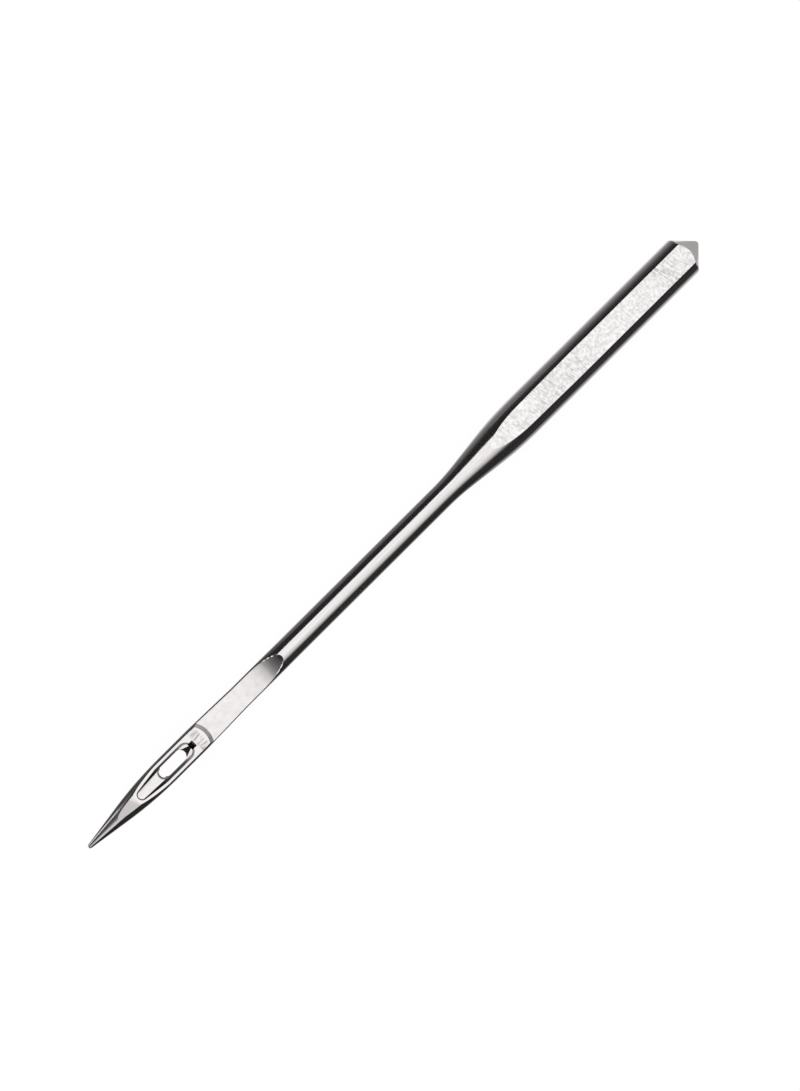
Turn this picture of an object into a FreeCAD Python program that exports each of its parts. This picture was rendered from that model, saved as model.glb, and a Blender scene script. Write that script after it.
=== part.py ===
"""A flat-shank sewing machine needle, modelled as one solid. Millimetres."""
import FreeCAD, Part
import math
import os

import Sketcher
from FreeCAD import Vector

# Driving sizes, with lengths along the needle measured from its tip and heights from its axis
SIZES = {
    "length": (39.56, "tip to butt end"),
    "shank_diameter": (2.02, "round part that the clamp holds"),
    "shank_length": (11.35, "parallel part and butt, up to the shoulder"),
    "flat_thickness": (1.85, "from the round front of the shank to its flat"),
    "butt_half_angle": (45.0, "cone on the butt end, degrees"),
    "butt_corner_radius": (0.12, "blend from the shank to the butt cone"),
    "butt_end_radius": (0.16, "rounded end of the butt cone"),
    "shoulder_half_angle": (7.0, "cone between blade and shank, degrees"),
    "shoulder_upper_radius": (17.0, "blend from the shoulder to the shank"),
    "shoulder_lower_radius": (11.5, "blend from the blade to the shoulder"),
    "blade_diameter": (1.14, "long slim part above the eye"),
    "blade_start": (9.80, "where the blade reaches its own diameter"),
    "cheek_diameter": (1.28, "the cheeks on both sides of the eye"),
    "cheek_end": (7.05, "where the cheeks start to narrow to the blade"),
    "ogive_radius": (20.0, "curve from the point cone to the cheeks"),
    "point_half_angle": (8.5, "point cone, degrees"),
    "tip_radius": (0.11, "rounded tip"),
    "land_height": (0.36, "flattened back of the cheeks above the axis"),
    "land_start": (4.75, "where the land bends up to its crest"),
    "land_slope": (4.5, "rise from there to the crest, degrees"),
    "land_crest": (3.25, "the crest, in front of the short groove"),
    "land_fall": (3.8, "fall from the crest towards the point, degrees"),
    "scarf_depth": (0.32, "clearance cut in the back of the blade"),
    "scarf_start": (7.76, "foot of the wall between the land and the scarf"),
    "scarf_ramp_start": (10.74, "where the scarf floor curves up"),
    "scarf_ramp_radius": (5.60, "curve from the scarf floor to the blade"),
    "scarf_wall_radius": (1.15, "plan curve of the wall at the land"),
    "scarf_wall_angle": (32.0, "slope of that wall, degrees"),
    "eye_start": (4.62, "point end of the eye"),
    "eye_length": (1.58, "clear length of the eye"),
    "eye_width": (0.60, "clear width of the eye"),
    "eye_corner_radius": (0.16, "corners of the eye at its back"),
    "funnel_length": (0.40, "bevel from the back of the eye to the channel"),
    "funnel_width": (0.14, "its width at the channel end"),
    "funnel_depth": (0.36, "its depth at the eye"),
    "channel_length": (0.33, "thread channel through to the long groove, behind the funnel"),
    "channel_width": (0.33, "its width"),
    "channel_wall": (0.28, "its end wall below the land"),
    "short_groove_start": (3.30, "point end of the short groove"),
    "short_groove_end": (6.66, "its far end, past the eye"),
    "short_groove_floor": (0.14, "its floor above the axis, beside the eye"),
    "short_groove_brow": (0.38, "top of the slope from its floor to its point end, above the axis"),
    "short_groove_brow_run": (0.06, "how far that slope stops short of the point end"),
    "short_groove_width": (0.59, "its width at the floor"),
    "short_groove_tip_width": (0.18, "its width at the point end"),
    "short_groove_flare": (1.40, "length over which it widens at its mouth"),
    "short_groove_floor_start": (4.58, "where its floor turns level, just before the eye"),
    "short_groove_floor_tip_width": (0.56, "width of the level floor at that end"),
    "short_groove_floor_flare": (0.60, "length over which the level floor widens"),
    "short_groove_wall_angle": (62.0, "slope of its side walls, degrees"),
    "long_groove_width": (0.42, "thread groove down the front"),
    "long_groove_depth": (0.31, "its depth below the front of the blade"),
    "long_groove_end": (22.4, "where its floor starts to rise to the shoulder"),
    "long_groove_upper_radius": (12.0, "run-out at the shoulder"),
    "long_groove_lower_radius": (7.0, "run-out at the point"),
}


def make_sheet(doc):
    """The driving sizes as a spreadsheet with one alias a row."""
    sheet = doc.addObject("Spreadsheet::Sheet", "Sizes")
    for row, (name, (value, meaning)) in enumerate(SIZES.items(), start=1):
        sheet.set(f"A{row}", name)
        sheet.set(f"B{row}", str(value))
        sheet.set(f"C{row}", meaning)
        sheet.setAlias(f"B{row}", name)
    return sheet


class Size(float):
    """A number from the sheet that keeps its formula through sums, and turns plain in any other."""

    def __new__(cls, value, formula):
        number = super().__new__(cls, value)
        number.formula = formula
        return number

    def combined(self, value, sign, other):
        if isinstance(other, Size):
            return Size(value, f"({self.formula} {sign} {other.formula})")
        if isinstance(other, int):
            return Size(value, f"({self.formula} {sign} {other})")
        return value

    def __add__(self, other):
        return self.combined(float(self) + float(other), "+", other)

    def __sub__(self, other):
        return self.combined(float(self) - float(other), "-", other)

    def __mul__(self, other):
        return self.combined(float(self) * float(other), "*", other)

    def __truediv__(self, other):
        return self.combined(float(self) / float(other), "/", other)

    def __neg__(self):
        return Size(-float(self), f"(-{self.formula})")

    def over_tan(self, angle):
        """How far a slope at this angle, in degrees, runs while it rises by this number."""
        formula = f"({self.formula} / tan({angle.formula} * 1 deg))"
        return Size(self / math.tan(math.radians(angle)), formula)


def size(name):
    return Size(SIZES[name][0], f"Sizes.{name}")


# How a sketch numbers the ends and centre of a piece, and its own two axes and origin
START, END, CENTRE = range(1, 4)
X_AXIS, Y_AXIS = range(-1, -3, -1)
ORIGIN = X_AXIS


class Outline:
    """A closed sketch, drawn piece by piece, whose dimensions follow the sheet."""

    def __init__(self, body, name, plane, height=None):
        self.sketch = body.newObject("Sketcher::SketchObject", name)
        origin = [f for f in body.Origin.OriginFeatures if f.Role == plane]
        self.sketch.AttachmentSupport = [(origin[0], "")]
        self.sketch.MapMode = "FlatFace"
        if height is not None:
            self.sketch.setExpression("AttachmentOffset.Base.z", height.formula)

    def line(self, start, end):
        return self.sketch.addGeometry(Part.LineSegment(Vector(*start, 0), Vector(*end, 0)), False)

    def arc(self, centre, radius, start_deg, end_deg):
        """An arc that runs anticlockwise between the two directions, in degrees."""
        circle = Part.Circle(Vector(*centre, 0), Vector(0, 0, 1), float(radius))
        arc = Part.ArcOfCircle(circle, math.radians(start_deg), math.radians(end_deg))
        return self.sketch.addGeometry(arc, False)

    def tie(self, kind, *where):
        self.sketch.addConstraint(Sketcher.Constraint(kind, *where))

    def tie_all(self, kind, lines):
        for line in lines:
            self.tie(kind, line)

    def join(self, piece, piece_end, other, other_end, smooth=True):
        """Bring two ends together, tangent where smooth."""
        self.tie("Tangent" if smooth else "Coincident", piece, piece_end, other, other_end)

    def chain(self, corners):
        """Straight lines from corner to corner."""
        lines = [self.line(start, end) for start, end in zip(corners, corners[1:])]
        for line, following in zip(lines, lines[1:]):
            self.join(line, END, following, START, smooth=False)
        return lines

    def polygon(self, corners):
        """Straight lines from corner to corner and back to the first."""
        lines = self.chain(corners + corners[:1])
        self.join(lines[-1], END, lines[0], START, smooth=False)
        return lines

    def drive(self, name, amount, kind, *where):
        """A dimension bound to a formula of the sheet's cells; angles are in degrees."""
        value = math.radians(amount) if kind == "Angle" else float(amount)
        index = self.sketch.addConstraint(Sketcher.Constraint(kind, *where, value))
        self.sketch.renameConstraint(index, name)
        self.sketch.setExpression(f"Constraints.{name}", amount.formula)

    def place(self, name, piece, end, along=None, across=None):
        """Drive one end's distances from the origin, along the sketch's two axes."""
        if along is not None:
            self.drive(f"{name}_along", along, "DistanceX", ORIGIN, START, piece, end)
        if across is not None:
            self.drive(f"{name}_across", across, "DistanceY", ORIGIN, START, piece, end)


def polar(centre, radius, degrees):
    return (
        centre[0] + radius * math.cos(math.radians(degrees)),
        centre[1] + radius * math.sin(math.radians(degrees)),
    )


def draw_half_profile(body):
    """The needle's round form from tip to butt, above its axis."""
    length, tip_radius = size("length"), size("tip_radius")
    shank, blade = size("shank_diameter") / 2, size("blade_diameter") / 2
    cheek = size("cheek_diameter") / 2
    point, shoulder, butt = size("point_half_angle"), size("shoulder_half_angle"), size("butt_half_angle")
    draw = Outline(body, "half_profile", "XZ_Plane")

    # Point: rounded tip, cone and ogive
    tip_centre = (tip_radius, 0)
    tip_end = polar(tip_centre, tip_radius, 90 + point)
    ogive = size("ogive_radius")
    cone_top = cheek - ogive * (1 - math.cos(math.radians(point)))
    cone_end = (tip_end[0] + (cone_top - tip_end[1]) / math.tan(math.radians(point)), cone_top)
    ogive_centre = (cone_end[0] + ogive * math.sin(math.radians(point)), cheek - ogive)
    tip = draw.arc(tip_centre, tip_radius, 90 + point, 180)
    cone = draw.line(tip_end, cone_end)
    bow = draw.arc(ogive_centre, ogive, 90, 90 + point)

    # Cheeks, taper, blade and shoulder
    cheek_end, blade_start = size("cheek_end"), size("blade_start")
    cheeks = draw.line((ogive_centre[0], cheek), (cheek_end, cheek))
    taper = draw.line((cheek_end, cheek), (blade_start, blade))
    upper, lower = size("shoulder_upper_radius"), size("shoulder_lower_radius")
    upper_centre = (length - size("shank_length"), shank - upper)
    upper_end = polar(upper_centre, upper, 90 + shoulder)
    lower_end_height = blade + lower * (1 - math.cos(math.radians(shoulder)))
    lower_end = (
        upper_end[0] - (upper_end[1] - lower_end_height) / math.tan(math.radians(shoulder)),
        lower_end_height,
    )
    lower_centre = (lower_end[0] - lower * math.sin(math.radians(shoulder)), blade + lower)
    shaft = draw.line((blade_start, blade), (lower_centre[0], blade))
    lower_blend = draw.arc(lower_centre, lower, 270, 270 + shoulder)
    shoulder_cone = draw.line(lower_end, upper_end)
    upper_blend = draw.arc(upper_centre, upper, 90, 90 + shoulder)

    # Shank and butt cone
    end_radius, corner = size("butt_end_radius"), size("butt_corner_radius")
    end_centre = (length - end_radius, 0)
    end_start = polar(end_centre, end_radius, 90 - butt)
    corner_end_height = shank - corner * (1 - math.cos(math.radians(butt)))
    corner_end = (
        end_start[0] - (corner_end_height - end_start[1]) / math.tan(math.radians(butt)),
        corner_end_height,
    )
    corner_centre = (corner_end[0] - corner * math.sin(math.radians(butt)), shank - corner)
    shank_line = draw.line((upper_centre[0], shank), (corner_centre[0], shank))
    corner_arc = draw.arc(corner_centre, corner, 90 - butt, 90)
    butt_cone = draw.line(corner_end, end_start)
    end_arc = draw.arc(end_centre, end_radius, 0, 90 - butt)
    axis = draw.line((length, 0), (0, 0))

    draw.join(tip, START, cone, START)
    draw.join(cone, END, bow, END)
    draw.join(bow, START, cheeks, START)
    draw.join(cheeks, END, taper, START, smooth=False)
    draw.join(taper, END, shaft, START, smooth=False)
    draw.join(shaft, END, lower_blend, START)
    draw.join(lower_blend, END, shoulder_cone, START)
    draw.join(shoulder_cone, END, upper_blend, END)
    draw.join(upper_blend, START, shank_line, START)
    draw.join(shank_line, END, corner_arc, END)
    draw.join(corner_arc, START, butt_cone, START)
    draw.join(butt_cone, END, end_arc, END)
    draw.join(end_arc, START, axis, START, smooth=False)
    draw.join(axis, END, tip, END, smooth=False)
    draw.tie("Coincident", axis, END, ORIGIN, START)
    draw.tie_all("Horizontal", (axis, cheeks, shaft, shank_line))
    draw.tie("PointOnObject", tip, CENTRE, X_AXIS)
    draw.tie("PointOnObject", end_arc, CENTRE, X_AXIS)

    draw.drive("length", length, "DistanceX", axis, END, axis, START)
    draw.drive("tip_radius", tip_radius, "Radius", tip)
    draw.drive("point_angle", point, "Angle", cone)
    draw.drive("ogive_radius", ogive, "Radius", bow)
    draw.place("cheeks", cheeks, END, cheek_end, cheek)
    draw.place("blade", taper, END, blade_start, blade)
    draw.drive("lower_blend", lower, "Radius", lower_blend)
    draw.drive("upper_blend", upper, "Radius", upper_blend)
    draw.drive("shoulder_angle", shoulder, "Angle", shoulder_cone)
    draw.drive("shank_length", size("shank_length"), "DistanceX", shank_line, START, axis, START)
    draw.place("shank", shank_line, END, across=shank)
    draw.drive("corner_radius", corner, "Radius", corner_arc)
    draw.drive("butt_angle", -butt, "Angle", butt_cone)
    draw.drive("end_radius", end_radius, "Radius", end_arc)
    return draw.sketch


def draw_flat(body):
    """Side view of what is ground off the shank; the flat runs out by itself on the shoulder."""
    draw = Outline(body, "flat_side_view", "XZ_Plane")
    level = size("flat_thickness") - size("shank_diameter") / 2
    front, back, top = size("blade_start"), size("length"), size("shank_diameter")
    base, rear, roof, rise = draw.polygon([(front, level), (back, level), (back, top), (front, top)])
    draw.tie_all("Horizontal", (base, roof))
    draw.tie_all("Vertical", (rear, rise))
    draw.place("front", base, START, front, level)
    draw.place("back", roof, START, back, top)
    return draw.sketch


def draw_land(body):
    """What is cut off the back of the cheeks: level beside the eye, rising to a crest, then falling."""
    draw = Outline(body, "land_side_view", "XZ_Plane")
    slope, fall = size("land_slope"), size("land_fall")
    level, top = size("land_height"), size("cheek_diameter")
    crest, bend, back = size("land_crest"), size("land_start"), size("scarf_ramp_start")
    crest_height = level + (bend - crest) * math.tan(math.radians(slope))
    front_height = crest_height - crest * math.tan(math.radians(fall))
    climb, rise, floor, rear, roof, wall = draw.polygon(
        [(0, front_height), (crest, crest_height), (bend, level), (back, level), (back, top), (0, top)])
    draw.tie_all("Horizontal", (floor, roof))
    draw.tie_all("Vertical", (rear, wall))
    draw.tie("PointOnObject", wall, END, Y_AXIS)
    draw.drive("fall", fall, "Angle", climb)
    draw.drive("slope", -slope, "Angle", rise)
    draw.place("crest", climb, END, crest)
    draw.place("bend", floor, START, bend, level)
    draw.place("back", floor, END, back)
    draw.place("top", roof, START, across=top)
    return draw.sketch


def scarf_floor():
    return size("blade_diameter") / 2 - size("scarf_depth")


def draw_scarf_plan(body, name, height):
    """Plan of the scarf at one height: the front wall bulges back, the rest is outside the blade."""
    draw = Outline(body, name, "XY_Plane", height)
    radius = size("scarf_wall_radius") - (height - scarf_floor()).over_tan(size("scarf_wall_angle"))
    middle = size("scarf_start") - size("scarf_wall_radius")
    side, back = size("scarf_wall_radius") + size("blade_diameter"), size("scarf_ramp_start")
    wall = draw.arc((middle, 0), radius, -90, 90)
    lines = draw.chain([(middle, radius), (middle, side), (back, side), (back, -side), (middle, -side),
                        (middle, -radius)])
    draw.join(wall, END, lines[0], START, smooth=False)
    draw.join(wall, START, lines[-1], END, smooth=False)
    draw.tie("PointOnObject", wall, CENTRE, X_AXIS)
    for line in (lines[0], lines[-1]):
        draw.tie("Vertical", line)
        draw.tie("PointOnObject", wall, CENTRE, line)
    draw.tie_all("Horizontal", lines[1::2])
    draw.tie("Symmetric", lines[1], END, lines[3], START, X_AXIS)
    draw.drive("radius", radius, "Radius", wall)
    draw.place("wall", wall, CENTRE, middle)
    draw.place("corner", lines[1], END, back, side)
    return draw.sketch


def draw_scarf_ramp(body):
    """Side view of the scarf's floor and of the curve by which it leaves the blade."""
    draw = Outline(body, "scarf_side_view", "XZ_Plane")
    radius, start, floor = size("scarf_ramp_radius"), size("scarf_ramp_start"), scarf_floor()
    front, top = size("blade_start"), size("blade_diameter")
    centre = (start, floor + radius)
    ramp_end = polar(centre, radius, 270 + math.degrees(math.acos((centre[1] - top) / radius)))
    ramp = draw.arc(centre, radius, 270, 270 + math.degrees(math.acos((centre[1] - top) / radius)))
    roof, wall, base = draw.chain([ramp_end, (front, top), (front, floor), (start, floor)])
    draw.join(base, END, ramp, START)
    draw.join(ramp, END, roof, START, smooth=False)
    draw.tie_all("Horizontal", (roof, base))
    draw.tie("Vertical", wall)
    draw.drive("radius", radius, "Radius", ramp)
    draw.place("start", base, END, start, floor)
    draw.place("top", roof, END, front, top)
    return draw.sketch


def draw_long_groove(body):
    """Side view of the thread groove in the front: a level floor with a curved run-out at both ends."""
    draw = Outline(body, "long_groove_side_view", "XZ_Plane")
    floor = size("long_groove_depth") - size("blade_diameter") / 2
    under = -size("shank_diameter") / 2
    start, end = size("eye_start"), size("long_groove_end")
    lower, upper = size("long_groove_lower_radius"), size("long_groove_upper_radius")
    lower_turn = math.degrees(math.acos(1 - (floor - under) / lower))
    upper_turn = math.degrees(math.acos(1 - (floor - under) / upper))
    # The floor is the top edge of what is cut, and both run-outs curve down from it
    lower_centre, upper_centre = (start, floor - lower), (end, floor - upper)
    front = draw.arc(lower_centre, lower, 90, 90 + lower_turn)
    rear = draw.arc(upper_centre, upper, 90 - upper_turn, 90)
    level = draw.line((start, floor), (end, floor))
    rear_foot = polar(upper_centre, upper, 90 - upper_turn)
    front_foot = polar(lower_centre, lower, 90 + lower_turn)
    base = draw.line(rear_foot, front_foot)
    draw.join(front, START, level, START)
    draw.join(level, END, rear, END)
    draw.join(rear, START, base, START, smooth=False)
    draw.join(base, END, front, END, smooth=False)
    draw.tie_all("Horizontal", (level, base))
    draw.drive("lower_radius", lower, "Radius", front)
    draw.drive("upper_radius", upper, "Radius", rear)
    draw.place("start", level, START, start, floor)
    draw.place("end", level, END, end)
    draw.place("under", base, START, across=under)
    return draw.sketch


def draw_short_groove(body, name, height, front, tip_width, flare):
    """Plan of the short groove at one height: it widens from its point end, then runs on past the eye."""
    draw = Outline(body, name, "XY_Plane", height)
    spread = (height - size("short_groove_floor")).over_tan(size("short_groove_wall_angle"))
    narrow = tip_width / 2 + spread
    wide = size("short_groove_width") / 2 + spread
    nose_middle, full_width = front + narrow, front + flare
    heel_middle = size("short_groove_end") - size("short_groove_width") / 2
    reach = math.hypot(full_width - nose_middle, wide)
    lean = math.degrees(math.atan2(wide, full_width - nose_middle) - math.asin(narrow / reach))
    nose_centre, heel_centre = (nose_middle, 0), (heel_middle, 0)
    nose = draw.arc(nose_centre, narrow, 90 + lean, 270 - lean)
    heel = draw.arc(heel_centre, wide, -90, 90)
    low_flare, low_side = draw.chain(
        [polar(nose_centre, narrow, 270 - lean), (full_width, -wide), (heel_middle, -wide)])
    high_side, high_flare = draw.chain(
        [(heel_middle, wide), (full_width, wide), polar(nose_centre, narrow, 90 + lean)])
    draw.join(nose, END, low_flare, START)
    draw.join(low_side, END, heel, START)
    draw.join(heel, END, high_side, START)
    draw.join(high_flare, END, nose, START)
    draw.tie("PointOnObject", nose, CENTRE, X_AXIS)
    draw.tie("PointOnObject", heel, CENTRE, X_AXIS)
    draw.tie_all("Horizontal", (low_side, high_side))
    draw.tie("Vertical", low_flare, END, high_flare, START)
    draw.drive("nose_radius", narrow, "Radius", nose)
    draw.drive("heel_radius", wide, "Radius", heel)
    draw.place("nose", nose, CENTRE, nose_middle)
    draw.place("full_width", low_flare, END, full_width)
    draw.place("heel", heel, CENTRE, heel_middle)
    return draw.sketch


def eye_back():
    return size("eye_start") + size("eye_length")


def draw_eye(body):
    """Plan of the eye: round at its point end, with two smaller corners at its back."""
    draw = Outline(body, "eye_plan", "XY_Plane")
    radius, corner = size("eye_width") / 2, size("eye_corner_radius")
    front, back = size("eye_start") + radius, eye_back()
    nose = draw.arc((front, 0), radius, 90, 270)
    low_side = draw.line((front, -radius), (back - corner, -radius))
    low_corner = draw.arc((back - corner, corner - radius), corner, -90, 0)
    heel = draw.line((back, corner - radius), (back, radius - corner))
    high_corner = draw.arc((back - corner, radius - corner), corner, 0, 90)
    high_side = draw.line((back - corner, radius), (front, radius))
    pieces = (nose, low_side, low_corner, heel, high_corner, high_side)
    for piece, following in zip(pieces, pieces[1:] + pieces[:1]):
        draw.join(piece, END, following, START)
    draw.tie_all("Horizontal", (low_side, high_side))
    draw.tie("Vertical", heel)
    draw.tie("Equal", low_corner, high_corner)
    draw.tie("PointOnObject", nose, CENTRE, X_AXIS)
    draw.drive("radius", radius, "Radius", nose)
    draw.drive("corner", corner, "Radius", low_corner)
    draw.place("front", nose, CENTRE, front)
    draw.place("back", heel, END, back)
    return draw.sketch


def draw_funnel(body, name, height, reach):
    """Plan, at one height, of the bevel behind the eye: as wide as the eye there, narrow at its far end."""
    draw = Outline(body, name, "XY_Plane", height)
    wide, narrow = size("eye_width") / 2, size("funnel_width") / 2
    front = eye_back() - size("eye_width") / 3
    low, _, high, _ = draw.polygon([(front, -wide), (reach, -narrow), (reach, narrow), (front, wide)])
    draw.tie("Symmetric", low, START, high, END, X_AXIS)
    draw.tie("Symmetric", low, END, high, START, X_AXIS)
    draw.place("front", high, END, front, wide)
    draw.place("rear", high, START, reach, narrow)
    return draw.sketch


def draw_channel(body):
    """Side view of the thread channel: its floor climbs from the long groove to its end wall."""
    draw = Outline(body, "channel_side_view", "XZ_Plane")
    front = eye_back() + size("funnel_length")
    end = front + size("channel_length")
    floor = size("long_groove_depth") - size("blade_diameter") / 2
    foot, top = size("land_height") - size("channel_wall"), size("cheek_diameter")
    slope, wall, roof, rise = draw.polygon([(front, floor), (end, foot), (end, top), (front, top)])
    draw.tie_all("Vertical", (wall, rise))
    draw.tie("Horizontal", roof)
    draw.place("floor", slope, START, front, floor)
    draw.place("foot", wall, START, end, foot)
    draw.place("top", roof, START, across=top)
    return draw.sketch


def cut_through(body, name, sketch, width):
    """Cut a side view or plan through the needle, evenly about its middle."""
    cut = body.newObject("PartDesign::Pocket", name)
    cut.Profile = sketch
    cut.SideType = "Symmetric"
    cut.setExpression("Length", width.formula)


def cut_between(body, name, *plans):
    """Cut the hollow whose walls run straight from each plan outline to the next."""
    cut = body.newObject("PartDesign::SubtractiveLoft", name)
    cut.Profile, cut.Sections = plans[0], list(plans[1:])
    cut.Ruled = True


def cut_scarf(body):
    """The front wall slopes, so its plan is drawn at the scarf's floor and again above the land."""
    rise = size("blade_diameter") / 4
    cut_between(
        body, "scarf_wall",
        draw_scarf_plan(body, "scarf_floor_plan", scarf_floor()),
        draw_scarf_plan(body, "scarf_mouth_plan", scarf_floor() + rise))
    cut_through(body, "scarf_ramp", draw_scarf_ramp(body), size("blade_diameter") * 2)


def cut_short_groove(body):
    """Its floor is level beside the eye, slopes up in front of it and ends in a steep brow."""
    floor, brow, mouth = size("short_groove_floor"), size("short_groove_brow"), size("cheek_diameter") / 2
    point_end = size("short_groove_start")
    brow_start = point_end + size("short_groove_brow_run")
    tip_width, flare = size("short_groove_tip_width"), size("short_groove_flare")
    cut_between(
        body, "short_groove",
        draw_short_groove(body, "short_groove_floor_plan", floor, size("short_groove_floor_start"),
                          size("short_groove_floor_tip_width"), size("short_groove_floor_flare")),
        draw_short_groove(body, "short_groove_brow_plan", brow, brow_start, tip_width, flare),
        draw_short_groove(body, "short_groove_mouth_plan", mouth, point_end, tip_width, flare))


def cut_funnel(body):
    """The bevel falls from the groove's floor at its far end to its full depth at the eye."""
    floor = size("short_groove_floor")
    cut_between(
        body, "funnel",
        draw_funnel(body, "funnel_foot_plan", floor - size("funnel_depth"), eye_back()),
        draw_funnel(body, "funnel_mouth_plan", floor, eye_back() + size("funnel_length")))


def build_needle(doc):
    """The round form, then each ground, pressed and punched feature in the order of the real needle."""
    body = doc.addObject("PartDesign::Body", "needle")
    body.Label = "needle"

    blank = body.newObject("PartDesign::Revolution", "round_form")
    blank.Profile = draw_half_profile(body)
    blank.ReferenceAxis = (blank.Profile[0], ["H_Axis"])
    blank.Angle = 360

    across = size("cheek_diameter") * 2
    cut_through(body, "flat", draw_flat(body), size("shank_diameter") * 2)
    cut_through(body, "land", draw_land(body), across)
    cut_scarf(body)
    cut_through(body, "long_groove", draw_long_groove(body), size("long_groove_width"))
    cut_short_groove(body)
    cut_through(body, "eye", draw_eye(body), across)
    cut_funnel(body)
    cut_through(body, "channel", draw_channel(body), size("channel_width"))

    # The sketches run from the tip along the axis; the needle lies on its round front, centred lengthwise
    body.setExpression("Placement.Base.x", (-size("length") / 2).formula)
    body.setExpression("Placement.Base.z", (size("shank_diameter") / 2).formula)
    return body


def check(doc, body):
    """Stop if anything failed to build, a sketch is loose, a cut took nothing or the solid is unsound."""
    for thing in doc.Objects:
        if "Invalid" in thing.State or "Error" in thing.State:
            raise RuntimeError(f"{thing.Name} failed: {thing.getStatusString()}")
        if thing.TypeId == "Sketcher::SketchObject" and not thing.FullyConstrained:
            raise RuntimeError(f"sketch {thing.Name} isn't fully constrained")
    features = [thing for thing in body.Group if hasattr(thing, "BaseFeature")]
    for before, after in zip(features, features[1:]):
        if after.Shape.Volume >= before.Shape.Volume:
            raise RuntimeError(f"{after.Name} cuts nothing")
    shape = body.Shape
    if shape.isNull() or not shape.isValid() or len(shape.Solids) != 1:
        raise RuntimeError("the needle isn't one valid solid")


def main():
    doc = FreeCAD.newDocument("machine_needle")
    make_sheet(doc)
    body = build_needle(doc)
    doc.recompute()
    check(doc, body)
    os.makedirs("parts", exist_ok=True)
    body.Shape.exportStep(os.path.join("parts", f"{body.Label}.step"))


main()
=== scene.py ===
"""A polished sewing machine needle lying on a white studio floor, seen from above."""
import math

import bmesh
import bpy
from mathutils import Matrix, Vector


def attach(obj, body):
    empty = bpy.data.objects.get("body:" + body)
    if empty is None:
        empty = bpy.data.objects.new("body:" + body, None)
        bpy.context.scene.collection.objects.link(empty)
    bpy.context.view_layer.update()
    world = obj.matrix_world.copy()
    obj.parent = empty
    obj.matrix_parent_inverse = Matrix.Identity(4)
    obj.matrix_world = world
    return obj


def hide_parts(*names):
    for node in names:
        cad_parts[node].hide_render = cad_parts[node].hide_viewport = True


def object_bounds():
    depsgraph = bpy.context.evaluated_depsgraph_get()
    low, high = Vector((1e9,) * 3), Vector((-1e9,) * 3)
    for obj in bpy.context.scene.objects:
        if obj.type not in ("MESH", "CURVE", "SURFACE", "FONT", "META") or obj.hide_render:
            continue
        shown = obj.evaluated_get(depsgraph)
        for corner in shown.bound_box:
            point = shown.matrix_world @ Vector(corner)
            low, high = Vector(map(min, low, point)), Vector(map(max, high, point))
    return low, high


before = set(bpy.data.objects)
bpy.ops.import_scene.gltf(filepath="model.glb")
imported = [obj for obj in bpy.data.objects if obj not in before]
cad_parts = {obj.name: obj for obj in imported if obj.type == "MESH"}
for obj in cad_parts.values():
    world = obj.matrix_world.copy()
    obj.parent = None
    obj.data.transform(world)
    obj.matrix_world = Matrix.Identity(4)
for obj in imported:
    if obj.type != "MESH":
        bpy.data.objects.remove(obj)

MM = 0.001
cad_low, cad_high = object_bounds()

# The needle's sizes in millimetres and degrees: places from its tip, heights from its axis, and for what is
# round or lies across it, radii and half widths
LENGTH = (cad_high.x - cad_low.x) / MM
SHANK = (cad_high.y - cad_low.y) / MM / 2
FLAT_LEVEL = (cad_high.z - cad_low.z) / MM - SHANK
SHANK_LENGTH = 11.35
# The flat rises by this much for each millimetre towards the shoulder, where the grinding wheel lifted off
FLAT_RUN_OUT_START, FLAT_RUN_OUT_SLOPE = 31.4, 0.007
BUTT_ANGLE, BUTT_CORNER, BUTT_END = 45, 0.12, 0.16
SHOULDER_ANGLE, SHOULDER_UPPER, SHOULDER_LOWER = 7, 17, 11.5
BLADE, BLADE_START = 0.57, 9.80
CHEEK, CHEEK_END = 0.64, 7.05
OGIVE, POINT_ANGLE, TIP = 20, 8.5, 0.11
LAND, LAND_START, LAND_SLOPE = 0.36, 4.75, 4.5
LAND_CREST, LAND_FALL = 3.25, 3.8
SCARF, SCARF_START = 0.25, 7.76
SCARF_RAMP, SCARF_RAMP_START = 5.60, 10.74
SCARF_WALL, SCARF_WALL_ANGLE = 1.15, 32
EYE_START, EYE_END, EYE, EYE_CORNER = 4.62, 6.20, 0.30, 0.16
FUNNEL_END, FUNNEL_TIP, FUNNEL_DEPTH = 6.60, 0.07, 0.36
CHANNEL_END, CHANNEL, CHANNEL_FOOT = 6.93, 0.165, 0.08
GROOVE_START, GROOVE_END, GROOVE_FLOOR = 3.30, 6.66, 0.14
GROOVE_BROW, GROOVE_BROW_RUN = 0.38, 0.06
GROOVE, GROOVE_TIP, GROOVE_FLARE, GROOVE_WALL_ANGLE = 0.295, 0.09, 1.40, 62
GROOVE_FLOOR_START, GROOVE_FLOOR_TIP, GROOVE_FLOOR_FLARE = 4.58, 0.28, 0.60
LONG_GROOVE, LONG_GROOVE_FLOOR, LONG_GROOVE_END = 0.21, -0.26, 22.4
LONG_GROOVE_UPPER, LONG_GROOVE_LOWER = 12, 7

# How the surfaces were finished, in the order of the needle's material slots
POLISHED, GROUND, LANDED, SCARFED, PRESSED, WALLED, PUNCHED = range(7)

# The mesh: its points round the needle, the angle from which an edge is a crease, and the upward share of
# a face's direction below which the face counts as a steep wall
AROUND = 256
CREASE = math.radians(24)
STEEP = 0.7

# The photograph's framing: its height in pixels, its scale at the axis, and where its centre falls on the
# part, with the camera's turn and its lean to the side
PHOTO_HEIGHT = 1091
PIXELS_PER_MM = 21.7
VIEW_CENTRE = (0.21 * MM, -0.249 * MM)
VIEW_TURN = math.radians(44.845)
VIEW_LEAN = 2.5
LENS, SENSOR = 45.0, 36.0

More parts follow.
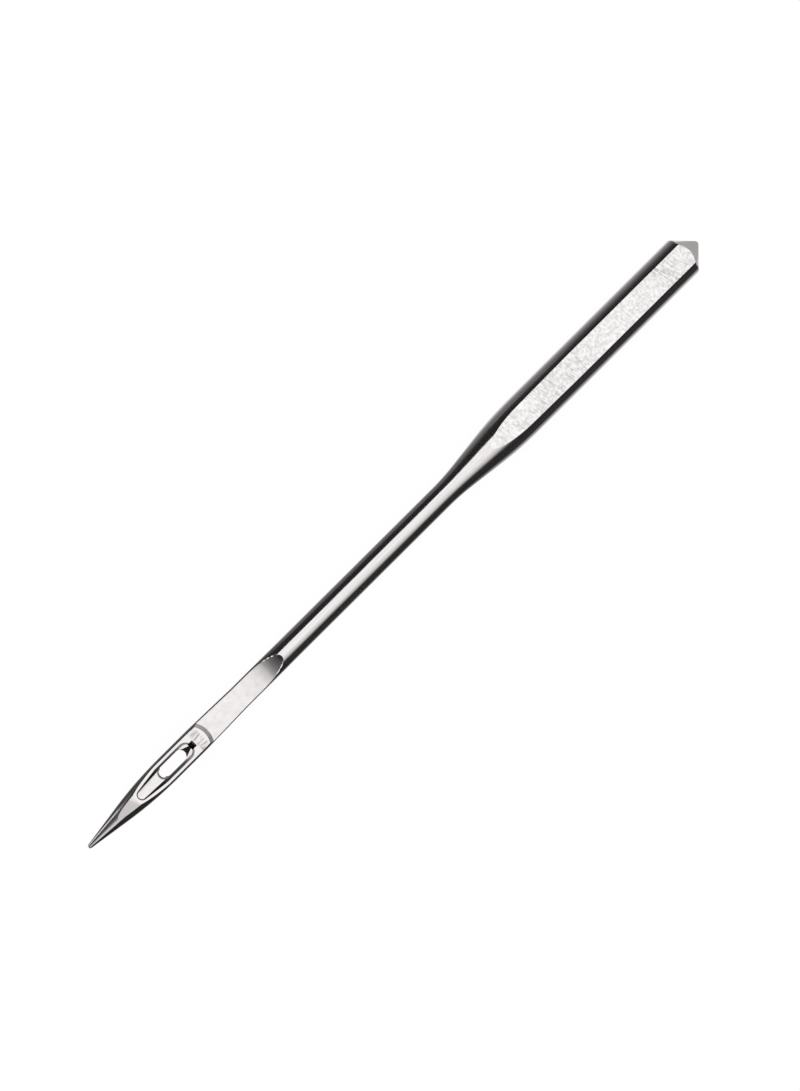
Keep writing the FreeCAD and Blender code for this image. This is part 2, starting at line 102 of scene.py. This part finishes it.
STEEL = (0.86, 0.82, 0.82, 1)
GROUND_STEEL = (0.94, 0.91, 0.91, 1)
WHITE = (1, 1, 1, 1)
# In millimetres: the round that shading gives each edge, the height of a full bump, and the width of the
# painted glint on the scarf's rim
EDGE_ROUNDING, BUMP_RISE, RIM_GLINT = 0.016, 0.01, 0.028

# What gloss sees in the studio, as (degrees, brightness): round the needle, from 0 above it and positive on
# the picture's upper side, and along the needle, positive towards the butt
SIDE_LIGHT = [
    (-90, 0.02), (-69, 0.02), (-62, 0.04), (-56, 0.13), (-48, 0.44), (-38, 0.66), (-28, 0.8), (-19, 0.93),
    (-5, 1.0), (26, 1.0), (32, 1.12), (35, 1.0), (39.5, 0.015), (75, 0.015), (90, 0.04)]
POINT_LIGHT = [
    (-90, 0.01), (-66, 0.02), (-57, 0.16), (-50, 0.7), (-43, 1.15), (-33, 1.25), (-19, 1.1), (-6, 0.64),
    (5, 0.3), (20, 0.15), (42, 0.11), (60, 0.12), (72, 0.14), (80, 0.2), (90, 0.3)]
END_LIGHT = [
    (-90, 0.04), (-60, 0.1), (-45, 0.28), (-40, 0.4), (-33, 0.6), (-27, 0.66), (-23.5, 0.62), (-20, 0.8),
    (-17, 0.95), (-14, 1.0), (25, 1.0), (45, 0.34), (90, 0.36)]
# The point's light takes over from the side light between these degrees along the needle
POINT_LIGHT_START, POINT_LIGHT_FULL = -22, -28
# A narrow light low beside the point, which the cone's upper side mirrors as a fine streak
LOW_LIGHT_ROUND = [(65, 0), (73, 1), (84, 1), (90, 0)]
LOW_LIGHT_ALONG = [(-36, 1.9), (-31, 1.7), (-30, 0.8), (-29, 0.35), (-28, 0.08), (-27, 0)]
STUDIO_STRENGTH = 1.07

# What gloss sees on the floor, a glow painted in bands, as (millimetres from the axis, brightness): painted
# shadow below the slim part, light beside the shank and darker further out
FLOOR_BY_BLADE = [
    (-8, 0.015), (-4, 0.02), (-3, 0.03), (-2.4, 0.055), (-1.7, 0.13), (-1.2, 0.33), (-0.8, 0.4), (0.8, 0.5),
    (1.2, 0.42), (1.6, 0.27), (2.1, 0.15), (2.7, 0.11), (4, 0.14), (8, 0.11), (14, 0.065), (20, 0.045)]
FLOOR_BY_SHANK = [
    (-20, 0.03), (-4.6, 0.025), (-3.7, 0.055), (-2.65, 0.3), (-1.9, 0.56), (-1.2, 0.78), (0, 0.85),
    (1.2, 0.83), (1.75, 0.66), (2.35, 0.35), (3.2, 0.23), (4.7, 0.165), (7.3, 0.105), (15, 0.05)]
# Along the needle, as (millimetres from its middle, share): how the floor dims by the eye and scarf, and
# where it changes to the shank's bands and to the grey behind the butt
FLOOR_BY_EYE = [(-23, 3), (-21, 0.4), (-12.6, 0.4), (-11.8, 0.22), (-8.8, 0.22), (-6.8, 1)]
FLOOR_TO_SHANK = [(4, 0), (8, 1)]
FLOOR_BEYOND = [(19.7, 0), (20.1, 1)]
# The grey behind the butt starts this much later for each millimetre from the axis
BEYOND_SLANT = 0.4
BEYOND_GREY = (0.43, 0.43, 0.43, 1)
# A pale strip far out, which the shoulder and the near end of the shank mirror as a fine line
STRIP_ALONG = [(6, 0), (8, 0.2), (11, 0.2), (15, 0)]
STRIP_ACROSS = [(8.5, 0), (10, 1), (14, 1), (17, 0)]
# The floor reaches this many needle lengths each way; a little of it is paper, which takes shadows, and a
# glow makes it white
FLOOR_LENGTHS = 40
PAPER, GLOW = (0.1, 0.1, 0.1, 1), 0.92


def polar(centre, radius, degrees):
    """The point at this distance and in this direction from the centre."""
    turn = math.radians(degrees)
    return centre[0] + radius * math.cos(turn), centre[1] + radius * math.sin(turn)


def arc(centre, radius, start, end, steps):
    """Points on an arc from one direction to the other, in degrees."""
    return [polar(centre, radius, start + (end - start) * step / steps) for step in range(steps + 1)]


def rounded(centre, radius, start, end, steps):
    """Points of an arc, each with the direction out of the metal; a negative radius is a hollow curve."""
    points = []
    for x, y in arc(centre, radius, start, end, steps):
        points.append((x, y, (x - centre[0]) / radius, (y - centre[1]) / radius))
    return points


def half_profile():
    """The needle's round form: distance from the tip, radius, and the two parts of the outward direction."""
    lean = math.radians(POINT_ANGLE)
    tip = (TIP, 0)
    tip_end = polar(tip, TIP, 90 + POINT_ANGLE)
    cone_top = CHEEK - OGIVE * (1 - math.cos(lean))
    bow = (tip_end[0] + (cone_top - tip_end[1]) / math.tan(lean) + OGIVE * math.sin(lean), CHEEK - OGIVE)
    points = rounded(tip, TIP, 180, 90 + POINT_ANGLE, steps=8)
    points += rounded(bow, OGIVE, 90 + POINT_ANGLE, 90, steps=24)
    taper = math.atan2(CHEEK - BLADE, BLADE_START - CHEEK_END) / 2
    points += [(CHEEK_END, CHEEK, math.sin(taper), 1), (BLADE_START, BLADE, math.sin(taper), 1)]

    slope = math.radians(SHOULDER_ANGLE)
    upper = (LENGTH - SHANK_LENGTH, SHANK - SHOULDER_UPPER)
    upper_start = polar(upper, SHOULDER_UPPER, 90 + SHOULDER_ANGLE)
    lower_rise = SHOULDER_LOWER * (1 - math.cos(slope))
    lower_end = upper_start[0] - (upper_start[1] - BLADE - lower_rise) / math.tan(slope)
    lower = (lower_end - SHOULDER_LOWER * math.sin(slope), BLADE + SHOULDER_LOWER)
    points += rounded(lower, -SHOULDER_LOWER, 90, 90 + SHOULDER_ANGLE, steps=16)
    points += rounded(upper, SHOULDER_UPPER, 90 + SHOULDER_ANGLE, 90, steps=16)

    butt = math.radians(BUTT_ANGLE)
    end = (LENGTH - BUTT_END, 0)
    end_start = polar(end, BUTT_END, 90 - BUTT_ANGLE)
    corner_height = SHANK - BUTT_CORNER * (1 - math.cos(butt))
    corner_end = end_start[0] - (corner_height - end_start[1]) / math.tan(butt)
    corner = (corner_end - BUTT_CORNER * math.sin(butt), SHANK - BUTT_CORNER)
    points += rounded(corner, BUTT_CORNER, 90, 90 - BUTT_ANGLE, steps=6)
    points += rounded(end, BUTT_END, 90 - BUTT_ANGLE, 0, steps=8)
    return points


def turned(points):
    """The round form as a mesh, with one point at its tip and one at its butt."""
    rings = points[1:-1]
    vertices = [(points[0][0], 0, 0), (points[-1][0], 0, 0)]
    for x, radius, _, _ in rings:
        for step in range(AROUND):
            y, z = polar((0, 0), radius, 360 * step / AROUND)
            vertices.append((x, y, z))
    faces = []
    for step in range(AROUND):
        following = (step + 1) % AROUND
        faces.append((0, 2 + following, 2 + step))
        last = 2 + AROUND * (len(rings) - 1)
        faces.append((1, last + step, last + following))
        for ring in range(len(rings) - 1):
            near, far = 2 + AROUND * ring, 2 + AROUND * (ring + 1)
            faces.append((near + step, near + following, far + following, far + step))
    return vertices, faces


def between(rings):
    """A closed mesh whose sides run straight from each outline to the next."""
    count = len(rings[0])
    vertices = [point for ring in rings for point in ring]
    faces = [tuple(range(count))[::-1], tuple(range(len(vertices) - count, len(vertices)))]
    for near in range(0, len(vertices) - count, count):
        for step in range(count):
            following = (step + 1) % count
            faces.append((near + step, near + following, near + count + following, near + count + step))
    return vertices, faces


def side_cut(outline, half_width):
    """A side view cut across the needle."""
    return between([[(x, y, z) for x, z in outline] for y in (-half_width, half_width)])


def plan_cut(*plans):
    """Plan outlines joined from height to height."""
    return between([[(x, y, height) for x, y in outline] for height, outline in plans])


def scarf_plan(spread):
    """The scarf from above, with its round wall drawn in by this spread."""
    middle, side = SCARF_START - SCARF_WALL, SCARF_WALL + 2 * BLADE
    return arc((middle, 0), SCARF_WALL - spread, -90, 90, steps=32) + [
        (middle, side), (SCARF_RAMP_START, side), (SCARF_RAMP_START, -side), (middle, -side)]


def short_groove_plan(height, front, tip, flare):
    """The short groove at a height: a narrow nose at its front, straight sides out to its full width."""
    spread = (height - GROOVE_FLOOR) / math.tan(math.radians(GROOVE_WALL_ANGLE))
    narrow, wide = tip + spread, GROOVE + spread
    nose, full_width = front + narrow, front + flare
    lean = math.degrees(math.atan2(wide, full_width - nose)
                        - math.asin(narrow / math.hypot(full_width - nose, wide)))
    outline = arc((nose, 0), narrow, 90 + lean, 270 - lean, steps=20) + [(full_width, -wide)]
    outline += arc((GROOVE_END - GROOVE, 0), wide, -90, 90, steps=20) + [(full_width, wide)]
    return height, outline


def funnel_plan(height, reach):
    """The funnel at a height: as wide as the eye at its front, and slim where it reaches to."""
    front = EYE_END - 2 * EYE / 3
    return height, [(front, -EYE), (reach, -FUNNEL_TIP), (reach, FUNNEL_TIP), (front, EYE)]


def cuts():
    """Each cut's name, finish, finish of its steep walls and mesh, in the order of a real needle's making."""
    outside = 2 * SHANK
    run_out_and_ramp_shade = FLAT_LEVEL + (FLAT_RUN_OUT_START - BLADE_START) * FLAT_RUN_OUT_SLOPE
    yield "flat", GROUND, GROUND, side_cut(
        [(BLADE_START, run_out_and_ramp_shade), (FLAT_RUN_OUT_START, FLAT_LEVEL), (LENGTH + SHANK, FLAT_LEVEL),
         (LENGTH + SHANK, outside), (BLADE_START, outside)], outside)

    crest = LAND + (LAND_START - LAND_CREST) * math.tan(math.radians(LAND_SLOPE))
    yield "land", LANDED, LANDED, side_cut(
        [(0, crest - LAND_CREST * math.tan(math.radians(LAND_FALL))), (LAND_CREST, crest),
         (LAND_START, LAND), (SCARF_RAMP_START, LAND), (SCARF_RAMP_START, outside), (0, outside)], outside)

    rise = BLADE / 2
    yield "scarf_wall", SCARFED, SCARFED, plan_cut(
        (SCARF, scarf_plan(0)),
        (SCARF + rise, scarf_plan(rise / math.tan(math.radians(SCARF_WALL_ANGLE)))))
    ramp_turn = math.degrees(math.acos((SCARF + SCARF_RAMP - 2 * BLADE) / SCARF_RAMP))
    yield "scarf_ramp", SCARFED, SCARFED, side_cut(
        arc((SCARF_RAMP_START, SCARF + SCARF_RAMP), SCARF_RAMP, 270, 270 + ramp_turn, steps=48)
        + [(BLADE_START, 2 * BLADE), (BLADE_START, SCARF)], outside)

    drop = LONG_GROOVE_FLOOR + SHANK
    lower_turn = math.degrees(math.acos(1 - drop / LONG_GROOVE_LOWER))
    upper_turn = math.degrees(math.acos(1 - drop / LONG_GROOVE_UPPER))
    yield "long_groove", PRESSED, PRESSED, side_cut(
        arc((EYE_START, LONG_GROOVE_FLOOR - LONG_GROOVE_LOWER), LONG_GROOVE_LOWER,
            90 + lower_turn, 90, steps=24)
        + arc((LONG_GROOVE_END, LONG_GROOVE_FLOOR - LONG_GROOVE_UPPER), LONG_GROOVE_UPPER,
              90, 90 - upper_turn, steps=24), LONG_GROOVE)

    yield "short_groove", PRESSED, WALLED, plan_cut(
        short_groove_plan(GROOVE_FLOOR, GROOVE_FLOOR_START, GROOVE_FLOOR_TIP, GROOVE_FLOOR_FLARE),
        short_groove_plan(GROOVE_BROW, GROOVE_START + GROOVE_BROW_RUN, GROOVE_TIP, GROOVE_FLARE),
        short_groove_plan(CHEEK, GROOVE_START, GROOVE_TIP, GROOVE_FLARE))

    inset, back = EYE - EYE_CORNER, EYE_END - EYE_CORNER
    eye = arc((EYE_START + EYE, 0), EYE, 90, 270, steps=32)
    eye += arc((back, -inset), EYE_CORNER, -90, 0, steps=12)
    eye += arc((back, inset), EYE_CORNER, 0, 90, steps=12)
    yield "eye", PRESSED, PRESSED, plan_cut((-outside, eye), (outside, eye))
    yield "funnel", PUNCHED, PUNCHED, plan_cut(
        funnel_plan(GROOVE_FLOOR - FUNNEL_DEPTH, EYE_END), funnel_plan(GROOVE_FLOOR, FUNNEL_END))
    yield "channel", PUNCHED, PUNCHED, side_cut(
        [(FUNNEL_END, LONG_GROOVE_FLOOR), (CHANNEL_END, CHANNEL_FOOT), (CHANNEL_END, 2 * CHEEK),
         (FUNNEL_END, 2 * CHEEK)], CHANNEL)


def new_object(name, vertices, faces):
    """A new object in the scene, with its faces turned outwards."""
    mesh = bpy.data.meshes.new(name)
    mesh.from_pydata(vertices, [], faces)
    shape = bmesh.new()
    shape.from_mesh(mesh)
    bmesh.ops.recalc_face_normals(shape, faces=shape.faces)
    shape.to_mesh(mesh)
    shape.free()
    piece = bpy.data.objects.new(name, mesh)
    bpy.context.collection.objects.link(piece)
    return piece


def outward(profile, x, y, z):
    """The exact outward direction of the round form at a point on it."""
    for near, far in zip(profile, profile[1:]):
        if x <= far[0]:
            share = (x - near[0]) / max(far[0] - near[0], 1e-9)
            lean, out = (near[k] + (far[k] - near[k]) * min(max(share, 0), 1) for k in (2, 3))
            return Vector((lean * math.hypot(y, z), out * y, out * z)).normalized()
    return Vector((1, 0, 0))


def shade(mesh, profile):
    """Creases between the cuts, and on the round form the exact directions of its curves."""
    shape = bmesh.new()
    shape.from_mesh(mesh)
    for edge in shape.edges:
        faces = edge.link_faces
        differ = len(faces) == 2 and faces[0].material_index != faces[1].material_index
        edge.smooth = not differ and edge.calc_face_angle(0) < CREASE
    for face in shape.faces:
        face.smooth = True
    shape.to_mesh(mesh)
    shape.free()
    normals = [Vector()] * len(mesh.loops)
    for face in mesh.polygons:
        if face.material_index == POLISHED:
            for loop in face.loop_indices:
                normals[loop] = outward(profile, *mesh.vertices[mesh.loops[loop].vertex_index].co)
    mesh.normals_split_custom_set(normals)


def build_needle():
    """Turn the round form, take the cuts off it and lay it on the floor, centred on its length."""
    profile = half_profile()
    needle = new_object("needle_steel", *turned(profile))
    cutters = []
    for name, finish, wall_finish, (vertices, faces) in cuts():
        cutter = new_object(name, vertices, faces)
        for face in cutter.data.polygons:
            face.material_index = wall_finish if abs(face.normal.z) < STEEP else finish
        cut = needle.modifiers.new(name, "BOOLEAN")
        cut.operation, cut.solver, cut.material_mode = "DIFFERENCE", "EXACT", "INDEX"
        cut.object = cutter
        cutters.append(cutter)
    finished = bpy.data.meshes.new_from_object(needle.evaluated_get(bpy.context.evaluated_depsgraph_get()))
    needle.modifiers.clear()
    needle.data = finished
    for cutter in cutters:
        bpy.data.meshes.remove(cutter.data)
    shade(finished, profile)
    for vertex in finished.vertices:
        x, y, z = vertex.co
        vertex.co = ((x - LENGTH / 2) * MM, y * MM, (z + SHANK) * MM)
    return needle


class Nodes:
    """Short calls for building a node tree."""

    def __init__(self, owner):
        owner.use_nodes = True
        self.tree = owner.node_tree
        self.tree.nodes.clear()

    def add(self, kind, inputs=(), **settings):
        """A node with these settings; each input is a socket to link or a plain value."""
        node = self.tree.nodes.new(kind)
        for name, value in settings.items():
            setattr(node, name, value)
        for key, value in dict(inputs).items():
            if isinstance(value, bpy.types.NodeSocket):
                self.tree.links.new(value, node.inputs[key])
            else:
                node.inputs[key].default_value = value
        return node

    def math(self, operation, *values, clamp=False):
        return self.add("ShaderNodeMath", enumerate(values), operation=operation, use_clamp=clamp).outputs[0]

    def mix(self, share, first, second, blend_type="MIX"):
        """The first colour turning into the second as the share rises, or another blend of the two."""
        return self.add("ShaderNodeMixRGB", {"Fac": share, "Color1": first, "Color2": second},
                        blend_type=blend_type).outputs[0]

    def ramp(self, factor, stops):
        """A ramp of greys: stops are (place from 0 to 1, linear grey)."""
        node = self.add("ShaderNodeValToRGB", {"Fac": factor})
        elements = node.color_ramp.elements
        while len(elements) < len(stops):
            elements.new(1.0)
        for element, (place, grey) in zip(elements, stops):
            element.position = place
            element.color = (grey, grey, grey, 1)
        return node.outputs["Color"]

    def span(self, value, stops):
        """A ramp whose stops are placed in the value's own units, from the first to the last."""
        low, high = stops[0][0], stops[-1][0]
        share = self.add("ShaderNodeMapRange", {"Value": value, "From Min": low, "From Max": high})
        return self.ramp(share.outputs["Result"], [((at - low) / (high - low), grey) for at, grey in stops])


def add_camera():
    """Above the needle and close to it, turned so that it runs from lower left to upper right."""
    data = bpy.data.cameras.new("camera")
    data.lens, data.sensor_width = LENS, SENSOR
    distance = PHOTO_HEIGHT / PIXELS_PER_MM * MM / SENSOR * LENS
    data.clip_start, data.clip_end = distance / 100, distance * 100
    camera = bpy.data.objects.new("camera", data)
    camera.matrix_world = (
        Matrix.Translation((*VIEW_CENTRE, SHANK * MM))
        @ Matrix.Rotation(-math.radians(VIEW_LEAN), 4, "X")
        @ Matrix.Rotation(-VIEW_TURN, 4, "Z")
        @ Matrix.Translation((0, 0, distance)))
    bpy.context.collection.objects.link(camera)
    bpy.context.scene.camera = camera


def add_world():
    """An even white room for everything but gloss; gloss sees a softbox overhead between dark cards."""
    world = bpy.data.worlds.new("studio")
    bpy.context.scene.world = world
    nodes = Nodes(world)
    path = nodes.add("ShaderNodeLightPath")
    direction = nodes.add("ShaderNodeTexCoord").outputs["Generated"]
    along, across, up = nodes.add("ShaderNodeSeparateXYZ", {0: direction}).outputs
    round_needle = nodes.math("DEGREES", nodes.math("ARCTAN2", across, up))
    side = nodes.math("SUBTRACT", round_needle, VIEW_LEAN)
    end = nodes.math("DEGREES", nodes.math("ARCSINE", along))
    towards_point = nodes.math("DIVIDE", nodes.math("SUBTRACT", end, POINT_LIGHT_START),
                               POINT_LIGHT_FULL - POINT_LIGHT_START, clamp=True)
    across_light = nodes.mix(towards_point, nodes.span(side, SIDE_LIGHT), nodes.span(side, POINT_LIGHT))
    main_light = nodes.math("MULTIPLY", across_light, nodes.span(end, END_LIGHT))
    low_light = nodes.math("MULTIPLY", nodes.span(side, LOW_LIGHT_ROUND), nodes.span(end, LOW_LIGHT_ALONG))
    studio = nodes.math("ADD", main_light, low_light)
    glossy = nodes.add("ShaderNodeBackground", {"Color": studio, "Strength": STUDIO_STRENGTH})
    plain = nodes.add("ShaderNodeBackground", {"Color": WHITE, "Strength": 1.0})
    mix = nodes.add("ShaderNodeMixShader", {
        0: path.outputs["Is Glossy Ray"], 1: plain.outputs[0], 2: glossy.outputs[0]})
    nodes.add("ShaderNodeOutputWorld", {0: mix.outputs[0]})


def add_floor():
    """A white floor for everything but gloss; gloss sees a painted glow in grey bands along the needle."""
    half = FLOOR_LENGTHS * LENGTH * MM
    floor = new_object("floor", [(-half, -half, 0), (half, -half, 0), (half, half, 0), (-half, half, 0)],
                       [(0, 1, 2, 3)])
    material = bpy.data.materials.new("white_floor")
    floor.data.materials.append(material)
    nodes = Nodes(material)
    path = nodes.add("ShaderNodeLightPath")
    paper = nodes.add("ShaderNodeBsdfDiffuse", {"Color": PAPER})
    glow = nodes.add("ShaderNodeEmission", {"Color": WHITE, "Strength": GLOW})
    lit = nodes.add("ShaderNodeAddShader", {0: paper.outputs[0], 1: glow.outputs[0]})
    position = nodes.add("ShaderNodeNewGeometry").outputs["Position"]
    along, across, _ = nodes.add("ShaderNodeSeparateXYZ", {0: position}).outputs
    from_middle, from_axis = nodes.math("DIVIDE", along, MM), nodes.math("DIVIDE", across, MM)
    by_blade = nodes.math(
        "MULTIPLY", nodes.span(from_axis, FLOOR_BY_BLADE), nodes.span(from_middle, FLOOR_BY_EYE))
    by_shank = nodes.span(from_axis, FLOOR_BY_SHANK)
    beside = nodes.mix(nodes.span(from_middle, FLOOR_TO_SHANK), by_blade, by_shank)
    strip = nodes.math("MULTIPLY", nodes.span(from_middle, STRIP_ALONG), nodes.span(from_axis, STRIP_ACROSS))
    slant = nodes.math("MULTIPLY", nodes.math("ABSOLUTE", from_axis), BEYOND_SLANT)
    beyond = nodes.span(nodes.math("SUBTRACT", from_middle, slant), FLOOR_BEYOND)
    bands = nodes.mix(beyond, nodes.math("ADD", beside, strip), BEYOND_GREY)
    # Painted reflection and shadow: the floor glows in these bands for gloss alone
    mirrored = nodes.add("ShaderNodeEmission", {"Color": bands})
    mix = nodes.add("ShaderNodeMixShader", {
        0: path.outputs["Is Glossy Ray"], 1: lit.outputs[0], 2: mirrored.outputs[0]})
    nodes.add("ShaderNodeOutputMaterial", {0: mix.outputs[0]})


class Steel(Nodes):
    """A metal whose marks are laid out in millimetres on the needle itself."""

    def __init__(self, name):
        self.material = bpy.data.materials.new(name)
        super().__init__(self.material)
        place = self.add("ShaderNodeTexCoord").outputs["Object"]
        self.place = self.add(
            "ShaderNodeVectorMath", {0: place, 1: (1 / MM,) * 3}, operation="MULTIPLY").outputs[0]

    def marks(self, size, detail, stops, turn=0):
        """Uneven marks of this size along, across and through, in millimetres, turned by these degrees."""
        place = self.add("ShaderNodeMapping", {
            "Vector": self.place, "Rotation": (0, 0, math.radians(turn)), "Scale": size},
            vector_type="TEXTURE").outputs[0]
        noise = self.add("ShaderNodeTexNoise", {"Vector": place, "Scale": 1.0, "Detail": detail})
        return self.ramp(noise.outputs["Fac"], stops)

    def along(self, stops):
        """A ramp of greys along the needle, in millimetres from its tip."""
        from_middle = self.add("ShaderNodeSeparateXYZ", {0: self.place}).outputs["X"]
        return self.span(self.math("ADD", from_middle, LENGTH / 2), stops)

    def marked(self, stops, marks):
        """White, with these marks as strong as the ramp along the needle says."""
        return self.mix(self.along(stops), WHITE, marks)

    def times(self, first, second):
        """The product of two colours."""
        return self.mix(1.0, first, second, blend_type="MULTIPLY")

    def near_round(self, radius, width):
        """1 on a cut surface within this width of its edge with the round form, otherwise 0."""
        _, across, up = self.add("ShaderNodeSeparateXYZ", {0: self.place}).outputs
        from_axis = self.add("ShaderNodeCombineXYZ", {"Y": across, "Z": self.math("SUBTRACT", up, SHANK)})
        distance = self.add("ShaderNodeVectorMath", {0: from_axis.outputs[0]}, operation="LENGTH")
        return self.math("GREATER_THAN", distance.outputs["Value"], radius - width)

    def finish(self, colour, roughness, bump=None, depth=0.0, glint_mask=None):
        """Close the material; its normal rounds the needle's fine edges and points straight up on a painted
        glint.
        """
        normal = self.add("ShaderNodeBevel", {"Radius": EDGE_ROUNDING * MM}, samples=6).outputs[0]
        if glint_mask is not None:
            normal = self.mix(glint_mask, normal, (0, 0, 1, 1))
        if bump is not None:
            normal = self.add("ShaderNodeBump", {
                "Height": bump, "Strength": depth, "Distance": BUMP_RISE * MM, "Normal": normal}).outputs[0]
        shader = self.add("ShaderNodeBsdfPrincipled", {
            "Base Color": colour, "Metallic": 1.0, "Roughness": roughness, "Normal": normal})
        self.add("ShaderNodeOutputMaterial", {0: shader.outputs[0]})
        return self.material


def polished_steel():
    """Drawn and polished, most finely at the point, with faint streaks along the needle."""
    steel = Steel("polished_steel")
    streaks = steel.marks((2.5, 0.06, 0.06), detail=5, stops=[(0.35, 0.88), (0.6, 1.0)])
    grain = steel.marks((1.6, 0.04, 0.04), detail=3, stops=[(0.3, 0.0), (0.7, 1.0)])
    roughness = steel.along([(0, 0.04), (1.1, 0.05), (1.9, 0.11)])
    return steel.finish(steel.times(STEEL, streaks), roughness, bump=grain, depth=0.06)


def ground_steel():
    """The flat, with mottling and the fine slanted marks of a wheel across it."""
    steel = Steel("ground_steel")
    mottle = steel.marks((0.14, 0.14, 0.14), detail=5, stops=[(0.38, 0.78), (0.58, 1.0)])
    wheel = steel.marks((0.05, 0.6, 0.6), detail=3, stops=[(0.38, 0.62), (0.52, 1.0)], turn=13)
    mottled_tone = steel.marked([(26.2, 0.3), (26.5, 1)], mottle)
    strokes = steel.marked([
        (26.3, 0), (26.8, 0.4), (28.4, 0.4), (29.2, 0.75), (31.8, 0.7), (32.6, 0.3), (36.7, 0.3), (36.9, 1),
        (37.6, 1), (37.8, 0.5)], wheel)
    colour = steel.times(steel.times(GROUND_STEEL, mottled_tone), strokes)
    return steel.finish(colour, roughness=0.2, bump=wheel, depth=0.15)


def land_steel():
    """The land beside the eye, with a dull patch of short strokes between the eye and the scarf."""
    steel = Steel("land_steel")
    strokes = steel.marks((0.4, 0.1, 1), detail=3, stops=[(0.36, 0.5), (0.56, 0.98)])
    dull = steel.marked([(CHANNEL_END, 0), (7.02, 1), (7.36, 1), (7.46, 0)], strokes)
    return steel.finish(steel.times(STEEL, dull), roughness=0.16)


def scarf_steel():
    """The scarf, with painted shade darkening up its ramp and a painted glint broken along the ramp's rim."""
    steel = Steel("scarf_steel")
    mottle = steel.marks((0.3, 0.28, 0.3), detail=5, stops=[(0.3, 0.89), (0.6, 1.0)])
    # Painted shade: darker up the ramp as its slope turns from the softbox towards the dark cards
    run_out_and_ramp_shade = steel.along([
        (10.1, 1.0), (10.7, 0.93), (10.85, 0.91), (11.3, 0.91), (11.5, 0.99), (11.6, 0.95), (11.8, 0.72),
        (12, 0.46), (12.2, 0.34), (12.35, 0.3), (12.45, 0.16)])
    # Painted glint: broken dashes on the ramp's rim, back to plain steel, with the normal turned straight up
    breaks = steel.marks((0.12, 0.12, 0.12), detail=0, stops=[(0.42, 0.0), (0.5, 1.0)])
    reach = steel.along([(11.7, 0), (11.8, 1), (12.35, 1), (12.5, 0)])
    rim_glint = steel.times(steel.times(breaks, reach), steel.near_round(BLADE, RIM_GLINT))
    mottled_tone = steel.times(steel.times(STEEL, mottle), run_out_and_ramp_shade)
    return steel.finish(steel.mix(rim_glint, mottled_tone, STEEL), roughness=0.15, glint_mask=rim_glint)


def pressed_steel():
    """The grooves, duller than what the polishing wheel reaches."""
    steel = Steel("pressed_steel")
    streaks = steel.marks((0.5, 0.11, 0.11), detail=3, stops=[(0.3, 0.93), (0.6, 1.0)])
    return steel.finish(steel.times(STEEL, streaks), roughness=0.18)


def groove_wall_steel():
    """The short groove's walls, with painted shade along the eye's front half and painted light round the
    groove's end.
    """
    steel = Steel("groove_wall_steel")
    painted_wall_shade_and_light = steel.along([
        (3.3, 0.3), (3.7, 0.16), (4.6, 0.1), (5.0, 0.42), (5.8, 0.5), (6.1, 0.8), (6.3, 1.0)])
    roughness = steel.along([(5.9, 0.25), (6.3, 0.7)])
    return steel.finish(steel.times(STEEL, painted_wall_shade_and_light), roughness)


def punched_steel():
    """The inside of the eye and channel, unpolished, and dark with painted shade of the deep hollow."""
    steel = Steel("punched_steel")
    # Painted shade of the deep hollow, with uneven mottling
    painted_hollow_shade = steel.marks((0.11, 0.11, 0.11), detail=4, stops=[(0.35, 0.03), (0.7, 0.16)])
    return steel.finish(painted_hollow_shade, roughness=0.32)


needle = build_needle()
for finish in (polished_steel, ground_steel, land_steel, scarf_steel, pressed_steel, groove_wall_steel,
               punched_steel):
    needle.data.materials.append(finish())
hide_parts("needle")
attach(needle, "root")
add_camera()
add_world()
add_floor()
bpy.context.scene.view_settings.view_transform = "Standard"
